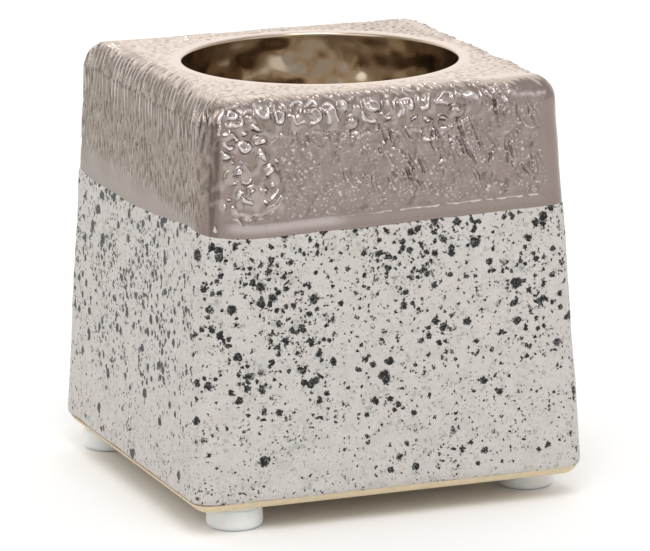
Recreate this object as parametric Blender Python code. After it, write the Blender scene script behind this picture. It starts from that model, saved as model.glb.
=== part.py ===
"""Square ceramic tealight holder: a hollow stoneware block that narrows towards the top, glazed in two
coats, with a round well for one tealight and four clear bumper feet. Metres, +Z up. The origin is the
centre of the footprint, on the surface that the feet stand on."""

import math

import bmesh
import bpy

MM = 0.001

# The block, over its glaze
base_width = 70.0 * MM
block_height = 68.1 * MM
side_draft = math.radians(2.87)
upright_corner_radius = 3.6 * MM
top_edge_radius = 4.6 * MM
bottom_edge_radius = 2.8 * MM
least_corner_radius = 0.4 * MM

# The glaze coats and the fit between pieces
fit_gap = 0.3 * MM
speckled_coat_thickness = 0.6 * MM
band_setback = 0.2 * MM
bare_foot_height = 1.75 * MM
bare_clay_setback = 0.3 * MM
coat_lip = 0.25 * MM

# The line where the two glazes meet, above the clay base
glaze_line_height = 45.9 * MM
glaze_line_corner_rise = 0.65 * MM
glaze_line_sag = 1.1 * MM
glaze_line_sag_heading = math.radians(155)
bead_height = 1.9 * MM
bead_swell = 0.18 * MM

# The well
well_diameter = 46.8 * MM
well_depth = 22.5 * MM
well_draft = math.radians(1.5)
well_lip_radius = 0.9 * MM
well_floor_radius = 2.0 * MM
well_offset = 0.8 * MM
well_coat_thickness = 0.4 * MM

# The cast clay
outer_wall = 4.5 * MM
floor_under_well = 4.0 * MM
base_thickness = 4.5 * MM
chamber_corner_radius = 5.0 * MM
chamber_edge_radius = 3.0 * MM
vent_diameter = 8.0 * MM
vent_edge = 0.6 * MM

# The bumper feet
foot_diameter = 9.5 * MM
foot_land_diameter = 9.2 * MM
foot_contact_diameter = 6.4 * MM
foot_stack = 4.0 * MM
foot_widest_height = 1.8 * MM
film_diameter = 8.4 * MM
film_thickness = 0.2 * MM
film_gap = 0.2 * MM
foot_insets = {
    "front_left": (9.4 * MM, 7.6 * MM),
    "front_right": (6.1 * MM, 12.4 * MM),
    "back_left": (6.8 * MM, 6.4 * MM),
    "back_right": (8.2 * MM, 8.0 * MM),
}

# How finely the curves are divided
side_steps = 12
corner_steps = 5
edge_steps = 5
turned_steps = 60
foot_steps = 28
places = 4 * (side_steps + corner_steps)

# Heights that follow from the sizes above
clay_base_z = foot_stack
top_z = clay_base_z + block_height
line_z = clay_base_z + glaze_line_height
band_coat_thickness = speckled_coat_thickness - band_setback
clay_depth = speckled_coat_thickness + fit_gap
clay_top_z = top_z - band_coat_thickness - fit_gap
well_radius = well_diameter / 2
well_floor_z = top_z - well_depth
clay_well_depth = well_coat_thickness + fit_gap
coat_foot_turn = math.asin(bare_foot_height / bottom_edge_radius - 1)


def clear_scene():
    for thing in list(bpy.data.objects):
        bpy.data.objects.remove(thing, do_unlink=True)


def material(name, colour, roughness, metallic=0.0, transmission=0.0):
    made = bpy.data.materials.new(name)
    made.use_nodes = True
    shader = made.node_tree.nodes["Principled BSDF"]
    shader.inputs["Base Color"].default_value = (*colour, 1.0)
    shader.inputs["Roughness"].default_value = roughness
    shader.inputs["Metallic"].default_value = metallic
    shader.inputs["Transmission Weight"].default_value = transmission
    return made


def add_object(name, bm, finish):
    bmesh.ops.recalc_face_normals(bm, faces=bm.faces)
    mesh = bpy.data.meshes.new(name)
    bm.to_mesh(mesh)
    bm.free()
    mesh.shade_smooth()
    mesh.set_sharp_from_angle(angle=math.radians(35))
    mesh.materials.append(finish)
    made = bpy.data.objects.new(name, mesh)
    bpy.context.scene.collection.objects.link(made)
    return made


def outline_point(place, half, corner):
    """Point number `place` of a square outline with round corners, counted round from the +X side."""
    side, step = divmod(place, side_steps + corner_steps)
    flat = half - corner
    if step <= side_steps:
        x, y = half, flat * (2 * step / side_steps - 1)
    else:
        turn = math.pi / 2 * (step - side_steps) / corner_steps
        x, y = flat + corner * math.cos(turn), flat + corner * math.sin(turn)
    for _ in range(side):
        x, y = -y, x
    return x, y


def heading(place):
    x, y = outline_point(place, base_width / 2, upright_corner_radius)
    return math.atan2(y, x)


def square_ring(half, corner, height):
    def point(place):
        return *outline_point(place, half, max(corner, least_corner_radius)), height

    return point


def round_ring(radius, height, offset=0.0):
    def point(place):
        turn = heading(place)
        return offset + radius * math.cos(turn), radius * math.sin(turn), height

    return point


def wall_half(height, depth):
    """Half the block's width at this height, this deep under the glaze."""
    return base_width / 2 - (height - clay_base_z) * math.tan(side_draft) - depth / math.cos(side_draft)


def arc(centre, radius, start, stop, steps=edge_steps):
    turns = [start + (stop - start) * step / steps for step in range(steps + 1)]
    return [(centre[0] + radius * math.cos(turn), centre[1] + radius * math.sin(turn)) for turn in turns]


def edge_rings(depth, plane_z, radius, start, stop, under=0.0):
    """Rings along the rounded edge between the walls and the flat plane at plane_z. An angle of 0 faces
    level outwards, 90 degrees up and -90 degrees down. `under` goes that far below the edge's surface."""
    centre_z = plane_z - math.copysign(radius, start + stop)
    centre_half = wall_half(centre_z, depth) - radius / math.cos(side_draft)
    across, up = zip(*arc((0.0, 0.0), radius - under, start, stop))
    widest = (radius - under) * math.cos(side_draft)
    corner = upright_corner_radius - depth - under - widest
    return [square_ring(centre_half + x, corner + x, centre_z + z) for x, z in zip(across, up)]


def glaze_line(turn):
    """Height of the line between the glazes: low in the middle of each side, and run down at one corner."""
    rise = -glaze_line_corner_rise * math.cos(4 * turn)
    run = glaze_line_sag * max(0.0, math.cos(turn - glaze_line_sag_heading)) ** 3
    return line_z + rise - run


def line_ring(above, depth):
    """A ring of the wall that follows the glaze line, this far above it."""

    def point(place):
        height = glaze_line(heading(place)) + above
        x, y = outline_point(place, wall_half(height, depth), upright_corner_radius - depth)
        return x, y, height

    return point


def loft(rings, closed):
    """A skin drawn from ring to ring by extruding the last one. A closed one joins its end to its start,
    and an open one gets a flat cap at each end."""
    bm = bmesh.new()
    number = bm.verts.layers.int.new("place")
    first = bmesh.ops.create_circle(bm, cap_ends=False, segments=places, radius=1.0)["verts"]
    for place, vert in enumerate(first):
        vert[number] = place
        vert.co = rings[0](place)
    start_edges = list(bm.edges)
    edges = start_edges
    for ring in rings[1:]:
        made = bmesh.ops.extrude_edge_only(bm, edges=edges)["geom"]
        verts = {item for item in made if isinstance(item, bmesh.types.BMVert)}
        for vert in verts:
            vert.co = ring(vert[number])
        edges = [item for item in made if isinstance(item, bmesh.types.BMEdge) and verts.issuperset(item.verts)]
    if closed:
        bmesh.ops.bridge_loops(bm, edges=start_edges + edges)
    else:
        bmesh.ops.contextual_create(bm, geom=start_edges)
        bmesh.ops.contextual_create(bm, geom=edges)
    return bm


def turn_profile(profile, steps, centre=(0.0, 0.0)):
    """A turned solid. The profile's points are (radius, height), and both its ends lie on the axis."""
    bm = bmesh.new()
    verts = [bm.verts.new((radius, 0.0, height)) for radius, height in profile]
    edges = [bm.edges.new(pair) for pair in zip(verts, verts[1:])]
    bmesh.ops.spin(
        bm, geom=verts + edges, cent=(0, 0, 0), axis=(0, 0, 1), angle=2 * math.pi, steps=steps, use_merge=True
    )
    bmesh.ops.remove_doubles(bm, verts=bm.verts, dist=1e-6)
    bmesh.ops.translate(bm, verts=bm.verts, vec=(centre[0], centre[1], 0.0))
    return bm


def well_profile(depth):
    """The well from the middle of its floor out to the flat top, this deep under its glaze."""
    floor_z = well_floor_z - depth
    plane_z = top_z - depth
    mouth = well_radius + depth
    lip = well_lip_radius - depth
    corner = well_floor_radius + depth
    floor_radius = mouth - (plane_z - lip - floor_z) * math.tan(well_draft)
    points = [(0.0, floor_z)]
    points += arc((floor_radius - corner, floor_z + corner), corner, -math.pi / 2, 0.0)
    points += arc((mouth + lip, plane_z - lip), lip, math.pi, math.pi / 2)
    return points


def make_clay_body(finish):
    """The cast stoneware: one piece with its well, its chamber and the vent that lets the steam out. The
    white coat ends on a shelf, so that the bare strip below it is nearly flush."""
    rings = [round_ring(radius, height, well_offset) for radius, height in well_profile(clay_well_depth)[1:]]
    rings += edge_rings(clay_depth, clay_top_z, top_edge_radius - clay_depth, math.pi / 2, side_draft)
    shelf_turn = coat_foot_turn - fit_gap / (bottom_edge_radius - clay_depth)
    rings += edge_rings(0.0, clay_base_z, bottom_edge_radius, side_draft, shelf_turn, under=clay_depth)
    foot_radius = bottom_edge_radius - bare_clay_setback
    rings += edge_rings(bare_clay_setback, clay_base_z, foot_radius, coat_foot_turn, -math.pi / 2)

    vent = vent_diameter / 2
    chamber_floor_z = clay_base_z + base_thickness
    rings += [
        round_ring(vent + vent_edge, clay_base_z),
        round_ring(vent, clay_base_z + vent_edge),
        round_ring(vent, chamber_floor_z - vent_edge),
        round_ring(vent + vent_edge, chamber_floor_z),
    ]

    chamber_top_z = well_floor_z - clay_well_depth - floor_under_well
    depth = clay_depth + outer_wall

    def chamber_ring(inset, height):
        half = wall_half(height, depth) - inset
        return square_ring(half, chamber_corner_radius - inset, height)

    def chamber_edge(plane_z, side, start, stop):
        centre_z = plane_z - side * chamber_edge_radius
        for across, up in arc((0.0, 0.0), chamber_edge_radius, start, stop, 4):
            yield chamber_ring(chamber_edge_radius - across, centre_z + up)

    rings += chamber_edge(chamber_floor_z, -1, -math.pi / 2, 0.0)
    rings += chamber_edge(chamber_top_z, 1, 0.0, math.pi / 2)
    return add_object("clay_body", loft(rings, closed=False), finish)


def make_speckled_glaze(finish):
    """The pale coat round the lower walls. It stops short of the base and leaves a strip of bare clay."""
    low = -fit_gap / 2
    thickness = speckled_coat_thickness
    rings = edge_rings(0.0, clay_base_z, bottom_edge_radius, coat_foot_turn, side_draft)
    rings += [line_ring(low - coat_lip, 0.0), line_ring(low, coat_lip), line_ring(low, thickness)]
    rings += edge_rings(0.0, clay_base_z, bottom_edge_radius, side_draft, coat_foot_turn, under=thickness)
    return add_object("speckled_glaze", loft(rings, closed=True), finish)


def make_metallic_glaze(finish):
    """The metallic coat over the upper walls and the top, with a thick bead along its lower edge."""
    low = fit_gap / 2
    inner_depth = band_setback + band_coat_thickness
    inner_top_z = top_z - band_coat_thickness
    inner_radius = top_edge_radius - band_coat_thickness
    edge_of_top = well_radius + well_lip_radius + fit_gap
    rings = [
        line_ring(low, band_setback + coat_lip),
        line_ring(low + coat_lip, band_setback),
        line_ring(low + bead_height / 2, band_setback - bead_swell),
        line_ring(low + bead_height, band_setback),
    ]
    rings += edge_rings(band_setback, top_z, top_edge_radius, side_draft, math.pi / 2)
    rings += [round_ring(edge_of_top, top_z, well_offset), round_ring(edge_of_top, inner_top_z, well_offset)]
    rings += edge_rings(inner_depth, inner_top_z, inner_radius, math.pi / 2, side_draft)
    rings += [line_ring(low, inner_depth)]
    return add_object("metallic_glaze", loft(rings, closed=True), finish)


def make_well_glaze(finish):
    """The smooth metallic lining of the well, which rolls over its lip."""
    inside = well_profile(0.0)
    outside = well_profile(well_coat_thickness)
    bm = turn_profile(inside + outside[::-1], turned_steps, (well_offset, 0.0))
    return add_object("well_glaze", bm, finish)


def make_feet(foot_finish, film_finish):
    """Four self-adhesive bumpers, stuck on by hand, each with the film that holds it to the clay."""
    film_top = clay_base_z - film_gap
    foot_top = film_top - film_thickness - film_gap
    contact = foot_contact_diameter / 2
    widest = foot_diameter / 2
    land = foot_land_diameter / 2
    foot_profile = [(0.0, 0.0), (contact, 0.0)]
    for step in range(1, edge_steps + 1):
        turn = math.pi / 2 * step / edge_steps
        across = contact + (widest - contact) * math.sin(turn)
        foot_profile.append((across, foot_widest_height * (1 - math.cos(turn))))
    foot_profile += [(land, foot_top), (0.0, foot_top)]
    film = film_diameter / 2
    film_profile = [(0.0, film_top - film_thickness), (film, film_top - film_thickness), (film, film_top)]
    film_profile.append((0.0, film_top))
    for corner, (inset_x, inset_y) in foot_insets.items():
        x = (base_width / 2 - inset_x) * (-1 if "left" in corner else 1)
        y = (base_width / 2 - inset_y) * (-1 if "front" in corner else 1)
        add_object(f"foot_{corner}", turn_profile(foot_profile, foot_steps, (x, y)), foot_finish)
        add_object(f"film_{corner}", turn_profile(film_profile, foot_steps, (x, y)), film_finish)


def main():
    clear_scene()
    make_clay_body(material("unglazed stoneware", (0.64, 0.46, 0.27), 0.85))
    make_speckled_glaze(material("speckled white glaze", (0.66, 0.61, 0.57), 0.35))
    make_metallic_glaze(material("pewter glaze", (0.40, 0.33, 0.29), 0.3, metallic=0.9))
    make_well_glaze(material("mirror bronze glaze", (0.45, 0.38, 0.30), 0.12, metallic=1.0))
    silicone = material("clear silicone", (0.80, 0.82, 0.80), 0.3, transmission=0.5)
    make_feet(silicone, material("adhesive film", (0.85, 0.85, 0.80), 0.5))


main()
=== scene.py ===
# %% [markdown]
# # A square ceramic tealight holder
#
# The object is a small block of slip-cast stoneware, dipped in two glazes. The lower part has a white
# glaze with iron speckles in it. The upper part has a metallic glaze that was fired thick, so that it
# crawled into ridges, wrinkles and drops. The well for the candle has a smooth lining of the same metal.
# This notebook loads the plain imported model, keeps what is right in it, and makes the glazed surfaces
# anew with their relief and their finish.

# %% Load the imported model
import math
from functools import reduce
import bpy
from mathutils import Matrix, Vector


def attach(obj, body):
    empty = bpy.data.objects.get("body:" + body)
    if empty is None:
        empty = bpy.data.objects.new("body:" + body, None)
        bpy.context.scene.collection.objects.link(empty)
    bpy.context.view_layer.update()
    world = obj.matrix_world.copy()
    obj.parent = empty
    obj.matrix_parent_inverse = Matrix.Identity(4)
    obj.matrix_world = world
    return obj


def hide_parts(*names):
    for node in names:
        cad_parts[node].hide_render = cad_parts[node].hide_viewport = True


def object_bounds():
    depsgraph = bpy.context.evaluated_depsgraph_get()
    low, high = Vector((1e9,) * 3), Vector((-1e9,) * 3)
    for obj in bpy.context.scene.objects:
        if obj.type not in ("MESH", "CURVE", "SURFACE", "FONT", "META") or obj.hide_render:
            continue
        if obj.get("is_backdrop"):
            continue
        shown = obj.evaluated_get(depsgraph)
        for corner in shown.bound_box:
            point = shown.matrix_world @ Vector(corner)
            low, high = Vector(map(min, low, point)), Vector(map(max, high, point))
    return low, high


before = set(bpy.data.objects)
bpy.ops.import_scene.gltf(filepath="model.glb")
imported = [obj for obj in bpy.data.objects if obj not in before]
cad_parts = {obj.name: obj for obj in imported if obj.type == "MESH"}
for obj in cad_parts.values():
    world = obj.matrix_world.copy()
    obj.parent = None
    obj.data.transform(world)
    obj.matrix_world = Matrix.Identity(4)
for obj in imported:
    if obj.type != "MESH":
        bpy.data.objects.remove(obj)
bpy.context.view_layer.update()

from types import SimpleNamespace

import bmesh
import bpy
import numpy as np
from mathutils import Matrix, Vector

MM = 0.001

# %% [markdown]
# ## Sizes
#
# All lengths below are in millimetres, because a potter thinks in them, and they become metres only when
# a mesh is written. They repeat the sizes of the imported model, so each new surface lies on the old one.

# %% Sizes of the block and its well, in mm
BASE_WIDTH = 70.0
CLAY_BASE = 4.0
TOP = 72.1
DRAFT = math.radians(2.87)
CORNER = 3.6
LEAST_CORNER = 0.4
TOP_EDGE = 4.6
BOTTOM_EDGE = 2.8
# Height of the strip of bare clay on the front, right, back and left
BARE_STRIPS = [1.75, 1.95, 1.95, 2.15]
BAND_SETBACK = 0.2
# The line where the glazes meet: its heading round the block in degrees, and its height
LINE_HEIGHTS = [
    (-135, 50.4), (-131, 49.7), (-127, 49.2), (-123, 49.1), (-118, 49.35), (-109, 49.45), (-99, 49.4),
    (-90, 49.6), (-80, 49.7), (-71, 49.85), (-62, 50.0), (-53, 50.1), (-45, 50.3), (-30, 50.0), (-15, 49.6),
    (0, 49.5), (15, 49.6), (30, 50.0), (45, 50.3), (60, 50.1), (75, 49.7), (90, 49.5), (105, 49.6),
    (120, 49.9), (135, 49.7), (144, 49.0), (153, 49.0), (162, 49.0), (171, 48.8), (180, 48.95),
    (188, 49.25), (196, 49.5), (204, 49.95), (211, 50.3), (215, 50.7), (219, 51.0),
]
LINE_SOFTNESS = math.radians(4.5)
WELL_RADIUS = 23.4
WELL_FLOOR = 49.6
WELL_DRAFT = math.radians(1.5)
WELL_OFFSET = 0.8
LIP = 0.6
# How long one side is, round its face and half of each corner
QUARTER = 68.6
AROUND = 4 * QUARTER
print("The glazes meet", min(z for _, z in LINE_HEIGHTS), "to", max(z for _, z in LINE_HEIGHTS), "mm up")

# %% [markdown]
# ## The camera
#
# The view comes from a fit of the block's outline: a long lens from the front left, a little above. The
# shift puts the block where it stands in the frame.

# %% Camera
AZIMUTH = math.radians(-20.88)
ELEVATION = math.radians(12.91)
ROLL = math.radians(-0.55)
DISTANCE = 887.4 * MM
TARGET = Vector((0, 0, 37.66 * MM))
LENS = 288
FRAME_WIDTH = 650
# Shift of the view to the right and up, in pixels of that frame
SHIFT = (7.66, -19.79)
backwards = Vector((
    math.sin(AZIMUTH) * math.cos(ELEVATION),
    -math.cos(AZIMUTH) * math.cos(ELEVATION),
    math.sin(ELEVATION),
))
rightwards = Vector((math.cos(AZIMUTH), math.sin(AZIMUTH), 0))
level = Matrix((rightwards, backwards.cross(rightwards), backwards)).transposed()
camera_data = bpy.data.cameras.new("camera")
camera_data.lens = LENS
camera_data.shift_x = SHIFT[0] / FRAME_WIDTH
camera_data.shift_y = SHIFT[1] / FRAME_WIDTH
camera = bpy.data.objects.new("camera", camera_data)
camera.location = TARGET + backwards * DISTANCE
camera.rotation_euler = (level @ Matrix.Rotation(ROLL, 3, "Z")).to_euler()
bpy.context.scene.collection.objects.link(camera)
bpy.context.scene.camera = camera
bpy.context.scene.view_settings.view_transform = "Standard"
print("The camera stands", round(DISTANCE, 3), "m away")

# %% [markdown]
# ## Colours and nodes
#
# Colours are written as the screen shows them, and one function turns them to the linear values that
# a shader needs. One more adds a node with its settings and its links.

# %% Helpers for materials and meshes


def colour(code):
    """The linear values of a screen colour. The screen's curve has a straight start and then a power."""
    parts = [int(code[i:i + 2], 16) / 255 for i in (1, 3, 5)]
    return tuple(p / 12.92 if p <= 0.04045 else ((p + 0.055) / 1.055) ** 2.4 for p in parts) + (1.0,)


def add(tree, kind, inputs=None, **settings):
    """Adds a node. An input is a value, or an output to link to it, or a node for its first output."""
    node = tree.nodes.new("ShaderNode" + kind)
    for name, value in settings.items():
        setattr(node, name, value)
    for name, value in (inputs or {}).items():
        socket = node.inputs[name]
        if isinstance(value, bpy.types.Node):
            value = next(output for output in value.outputs if output.enabled)
        if isinstance(value, bpy.types.NodeSocket):
            tree.links.new(value, socket)
        else:
            socket.default_value = value
    return node


def new_material(name, sockets):
    """A material, its node tree, and its shader with these sockets set."""
    made = bpy.data.materials.new(name)
    made.use_nodes = True
    shader = made.node_tree.nodes["Principled BSDF"]
    for socket, value in sockets.items():
        shader.inputs[socket].default_value = value
    return made, made.node_tree, shader


def object_from(bm, name):
    """Ends a bmesh and links its mesh to the scene as an object of this name."""
    mesh = bpy.data.meshes.new(name)
    bm.to_mesh(mesh)
    bm.free()
    made = bpy.data.objects.new(name, mesh)
    bpy.context.scene.collection.objects.link(made)
    return made


# %% [markdown]
# ## The studio
#
# A plain white floor, a pale room that is brighter behind the object, overhead and to its right than in
# front of it, and three soft lamps, the strongest of them from above. Metal shows the room, so the
# room's darker front gives its relief dark lines, and the lamps give it highlights.

# %% Floor, room and lamps
bm = bmesh.new()
bmesh.ops.create_grid(bm, x_segments=1, y_segments=1, size=4.0)
floor = object_from(bm, "floor")
matt = {"Base Color": colour("#F1F1F1"), "Roughness": 1.0, "Specular IOR Level": 0.0}
paper, _, _ = new_material("white paper sweep", matt)
floor.data.materials.append(paper)
floor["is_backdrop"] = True

world = bpy.data.worlds.new("studio")
world.use_nodes = True
bpy.context.scene.world = world
tree = world.node_tree
direction = add(tree, "TexCoord").outputs["Generated"]
direction = add(tree, "SeparateXYZ", {0: direction}).outputs
# Each light part of the room: its axis, where it starts and is full along it, and its level at both
ROOM = {"back": ("Y", 0.0, 0.9, 0.0, 1.0), "horizon": ("Z", 0.0, 0.26, 0.35, 1.0),
        "overhead": ("Z", 0.45, 0.95, 0.5, 0.8), "right": ("X", 0.35, 0.95, 0.0, 0.35)}
room = {}
for name, (axis, start, full, low, high) in ROOM.items():
    room[name] = add(tree, "MapRange", {"Value": direction[axis], "From Min": start, "From Max": full,
                                        "To Min": low, "To Max": high}, interpolation_type="SMOOTHSTEP")
behind = add(tree, "Math", {0: room["back"], 1: room["horizon"]}, operation="MULTIPLY")
sides = add(tree, "Math", {0: room["right"], 1: room["overhead"]}, operation="ADD")
glow = add(tree, "Math", {0: behind, 1: 0.95, 2: sides}, operation="MULTIPLY_ADD")
tree.links.new(glow.outputs[0], tree.nodes["Background"].inputs["Strength"])
tree.nodes["Background"].inputs["Color"].default_value = colour("#FFFDFA")


def add_sun(name, azimuth, elevation, strength, width):
    lamp = bpy.data.lights.new(name, "SUN")
    lamp.energy = strength
    lamp.angle = math.radians(width)
    made = bpy.data.objects.new(name, lamp)
    a, e = math.radians(azimuth), math.radians(elevation)
    towards = Vector((math.sin(a) * math.cos(e), -math.cos(a) * math.cos(e), math.sin(e)))
    made.rotation_euler = towards.to_track_quat("Z", "Y").to_euler()
    bpy.context.scene.collection.objects.link(made)


add_sun("soft_lamp_above", -14, 60, 1.15, 34)
add_sun("soft_lamp_front", 22, 22, 0.27, 46)
add_sun("soft_lamp_left", -55, 30, 0.45, 40)
print("Floor, room and three soft lamps are in place")

# %% [markdown]
# ## The block's form
#
# The four sides are alike, so one side is described and turned by quarters. A point is given by `w`,
# from -1 to 1 across the side and half round its two corners, and by its height or its place on the top.

# %% The outline and the profile
FLAT_SHARE = 0.92


def smooth(value, start, stop):
    """0 up to `start`, 1 from `stop` on, and a soft step between them."""
    step = np.clip((value - start) / (stop - start), 0, 1)
    return step * step * (3 - 2 * step)


def hump(value, middle, width):
    """1 at the middle, and softly down to 0 on both sides of it."""
    return np.exp(-((value - middle) / width) ** 2)


def outline(w, half, corner):
    """The front side's outline, seen from above, with its right half corner at w = 1."""
    flat = half - corner
    turn = np.maximum(np.abs(w) - FLAT_SHARE, 0) / (1 - FLAT_SHARE) * math.pi / 4
    along = flat * np.minimum(np.abs(w) / FLAT_SHARE, 1) + corner * np.sin(turn)
    return np.sign(w) * along, -(flat + corner * np.cos(turn))


def heading(w):
    x, y = outline(w, BASE_WIDTH / 2, CORNER)
    return np.arctan2(y, x)


def wall_half(z, depth):
    return BASE_WIDTH / 2 - (z - CLAY_BASE) * math.tan(DRAFT) - depth / math.cos(DRAFT)


def glaze_line(turn):
    """Height of the line where the glazes meet, a smooth curve through its listed heights."""
    total, weight = 0 * turn, 0 * turn
    for degrees, height in LINE_HEIGHTS:
        away = (turn - math.radians(degrees) + math.pi) % (2 * math.pi) - math.pi
        near = hump(away, 0, LINE_SOFTNESS)
        total, weight = total + near * height, weight + near
    return total / weight


# %% [markdown]
# ## The metallic coat
#
# The coat is one skin on the real object. Its relief needs points every sixth of a millimetre, which is
# more than one mesh should hold, so it is made as four sheets, one for each side and its quarter of the
# top. Each starts as a flat grid from `create_grid`, is laid on the side by moving its points, and takes
# its shading normals from the surface itself, so that no seam shows where two sheets meet.

# %% Plain form of a sheet, from under its lower edge to the well
COLUMNS = 400
UNDER_ROWS = 4
WALL_ROWS = 124
EDGE_ROWS = 38
TOP_ROWS = 64
LIP_ROWS = 10
# Radius of the coat's lower edge
UNDER_EDGE = 0.28
# The angle of the rounded edge where the top starts to count, and how much it then counts per radian
TOP_STARTS = 1.2
TOP_PACE = 4.0
LIP_ENDS = math.radians(50)


def sheet_form(side, w):
    """Plain form of one sheet, as arrays of rows and columns. `along`, `y` and `z` are a point's place on
    the front before its quarter turn. `fall` is how far it is up the wall from the glazes' line, `below` how
    far down from the end of the top edge, `on_top` how far in over the top, and `lip` is 1 near the well."""
    local = heading(w)
    line = glaze_line(local + side * math.pi / 2)
    arc_centre = TOP - TOP_EDGE
    wall_top = arc_centre + TOP_EDGE * math.sin(DRAFT)
    centre_half = wall_half(arc_centre, BAND_SETBACK) - TOP_EDGE / math.cos(DRAFT)
    rows = []
    for i in range(UNDER_ROWS):
        curl = math.pi / 2 * (1 - i / UNDER_ROWS)
        z = line + UNDER_EDGE * (1 - math.sin(curl))
        depth = BAND_SETBACK + UNDER_EDGE * (1 - math.cos(curl))
        rows.append((*outline(w, wall_half(z, depth), CORNER - depth), z, z - line, 0, 0))
    low = line + UNDER_EDGE
    for i in range(WALL_ROWS):
        z = low + (wall_top - low) * i / WALL_ROWS
        x, y = outline(w, wall_half(z, BAND_SETBACK), CORNER - BAND_SETBACK)
        rows.append((x, y, z, z - line, 0, 0))
    for i in range(EDGE_ROWS):
        angle = DRAFT + (math.pi / 2 - DRAFT) * i / EDGE_ROWS
        bend = TOP_EDGE * math.cos(angle)
        corner = max(CORNER - BAND_SETBACK - TOP_EDGE * math.cos(DRAFT) + bend, LEAST_CORNER)
        fall = wall_top - line + TOP_EDGE * (angle - DRAFT)
        z = arc_centre + TOP_EDGE * math.sin(angle)
        on_top = TOP_PACE * max(0, angle - TOP_STARTS)
        rows.append((*outline(w, centre_half + bend, corner), z, fall, on_top, 0))
    square_x, square_y = outline(w, centre_half, LEAST_CORNER)
    offset = Matrix.Rotation(-side * math.pi / 2, 2) @ Vector((WELL_OFFSET, 0))
    rim = WELL_RADIUS + LIP
    round_x = offset[0] + rim * np.cos(local)
    round_y = offset[1] + rim * np.sin(local)
    span = np.hypot(square_x - round_x, square_y - round_y)
    edge_fall = wall_top - line + TOP_EDGE * (math.pi / 2 - DRAFT)
    start_in = TOP_PACE * (math.pi / 2 - TOP_STARTS)
    for i in range(TOP_ROWS):
        part = i / TOP_ROWS
        x = square_x + (round_x - square_x) * part
        y = square_y + (round_y - square_y) * part
        lip = smooth(span * (1 - part), 2.2, 0.5)
        rows.append((x, y, TOP, edge_fall + span * part, start_in + span * part, lip))
    for i in range(LIP_ROWS):
        angle = math.pi / 2 + LIP_ENDS * i / (LIP_ROWS - 1)
        reach = rim + LIP * math.cos(angle)
        x = offset[0] + reach * np.cos(local)
        y = offset[1] + reach * np.sin(local)
        rows.append((x, y, TOP - LIP + LIP * math.sin(angle), edge_fall + span, start_in + span, 1))
    columns = [np.array([np.broadcast_to(row[i], w.shape) for row in rows], float) for i in range(6)]
    at = SimpleNamespace(**dict(zip(("along", "y", "z", "fall", "on_top", "lip"), columns)))
    at.w = np.broadcast_to(w, at.y.shape)
    at.below = edge_fall - at.fall
    at.round_s = (side + at.w / 2) * QUARTER
    return at


# %% [markdown]
# ## Ripples
#
# A thick glaze crawls into ridges that are all about as wide as each other. Adding up many plane waves
# of nearly one wavelength, in random directions, gives just such a field, and it can be stretched,
# turned or bent by changing the coordinates that it is read at.

# %% Even ripples, and strokes strewn at random
WAVES = 110
CELLS = 64


def ripples(u, v, wavelength, seed, jitter=0.22, spread=math.pi / 2, around=None):
    """Random ripples of unit size over u and v in mm. `jitter` is how much their wavelengths differ and
    `spread` how far they turn from u. `around` is the length after which u has to meet itself."""
    random = np.random.default_rng(seed)
    u = np.asarray(u, np.float32)
    v = np.asarray(v, np.float32)
    value = np.zeros(u.shape, np.float32)
    for _ in range(WAVES):
        size = 2 * math.pi / (wavelength * (1 + jitter * random.uniform(-1, 1)))
        turn = spread * random.uniform(-1, 1)
        ku, kv = size * math.cos(turn), size * math.sin(turn)
        if around:
            ku = 2 * math.pi * round(ku * around / (2 * math.pi)) / around
        value += np.cos(np.float32(ku) * u + np.float32(kv) * v + np.float32(random.uniform(0, 2 * math.pi)))
    return value * math.sqrt(2 / WAVES)


def round_ripples(at, wavelength, seed, jitter=0.22, upright=1.0):
    """Ripples that run on from side to side. They are drawn out up the wall where `upright` is under 1."""
    return ripples(at.round_s, upright * at.fall, wavelength, seed, jitter, around=AROUND)


def strewn(u, v, pitch, half, reach, lean, seed, share):
    """One short round-backed stroke in each cell of a grid, strewn at random: 1 along its middle. `half`
    is its half width, `reach` its half length, and `share` how many cells have one."""
    random = np.random.default_rng(seed)
    shift_u, shift_v, size, long, tilt, kept = random.random((6, CELLS, CELLS), np.float32)
    back = np.zeros_like(u)
    for i in (-1, 0, 1):
        for j in (-1, 0, 1):
            cell = np.floor(u / pitch[0]).astype(int) + i, np.floor(v / pitch[1]).astype(int) + j
            pick = cell[0] % CELLS, cell[1] % CELLS
            away_u = u - (cell[0] + shift_u[pick]) * pitch[0]
            away_v = v - (cell[1] + shift_v[pick]) * pitch[1]
            turn = lean + 0.5 * (tilt[pick] - 0.5)
            limit = reach * (0.3 + 0.7 * long[pick])
            part = np.clip(away_u * np.sin(turn) + away_v * np.cos(turn), -limit, limit)
            away = np.hypot(away_u - part * np.sin(turn), away_v - part * np.cos(turn))
            away = away / (half * (0.6 + 0.8 * size[pick]))
            back = np.maximum(back, np.where(kept[pick] < share, 1 - away ** 2, 0))
    return back
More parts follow.
